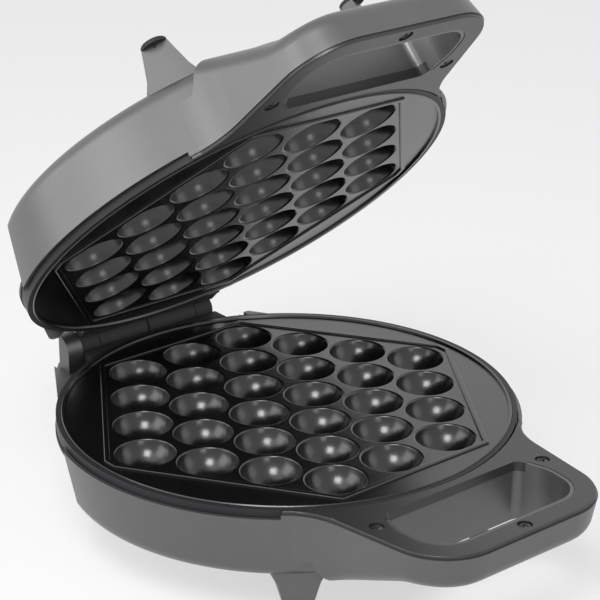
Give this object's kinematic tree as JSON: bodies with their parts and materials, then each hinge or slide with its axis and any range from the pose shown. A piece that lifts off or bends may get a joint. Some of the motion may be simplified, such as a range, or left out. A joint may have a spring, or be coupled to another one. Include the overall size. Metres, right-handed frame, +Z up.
{
  "type": "bubble waffle maker",
  "caption": "Electric bubble waffle maker with two round hinged halves, cupped non-stick plates, front handles with finger openings and tall feet.",
  "frame": {"origin": "on the bench, under the middle of the object's box with the lid open as pictured", "axes": "+Z up, +Y from the handles to the hinge, +X to the right as seen from the handle side"},
  "size_m": [0.2162, 0.2923, 0.2615],
  "materials": {
    "shell_silver": "satin silver-grey paint with a fine grain",
    "cover_black": "satin black",
    "plate_coat": "satin black non-stick coat",
    "ring_dark": "dark grey satin",
    "heater_tube": "dull heat-resistant steel",
    "shield_tin": "bright sheet",
    "screw_dark": "dark zinc",
    "screw_plain": "plain zinc",
    "pad_rubber": "matt black",
    "hinge_black": "satin black",
    "pin_steel": "plain steel",
    "thermostat_can": "plain",
    "block_cream": "unglazed",
    "inlet_black": "matt black",
    "contact_brass": "plain"
  },
  "bodies": {
    "base": {"base_shell": "shell_silver", "base_cover": "cover_black", "base_plate": "plate_coat", "base_plate_ring": "ring_dark", "base_heater": "heater_tube", "base_heat_shield": "shield_tin", "base_cover_screws": "screw_dark", "base_ring_screws": "screw_plain", "base_shield_screws": "screw_plain", "base_foot_pads": "pad_rubber", "base_thermostat": "thermostat_can", "hinge_bracket": "hinge_black", "hinge_pin": "pin_steel", "hinge_bracket_screws": "screw_plain", "terminal_block": "block_cream", "power_inlet": "inlet_black", "inlet_pins": "contact_brass"},
    "lid": {"lid_shell": "shell_silver", "lid_cover": "cover_black", "lid_plate": "plate_coat", "lid_plate_ring": "ring_dark", "lid_heater": "heater_tube", "lid_heat_shield": "shield_tin", "lid_cover_screws": "screw_dark", "lid_ring_screws": "screw_plain", "lid_shield_screws": "screw_plain", "lid_foot_pads": "pad_rubber", "lid_hinge_arms": "hinge_black", "lid_arm_screws": "screw_dark", "lid_thermostat": "thermostat_can"}
  },
  "joints": [
    {"name": "lid_hinge", "type": "hinge", "parent": "base", "child": "lid", "pos_m": [0, 0.12825, 0.06], "axis": [-1, 0, 0], "range_deg": [-44.7, 55]}
  ]
}
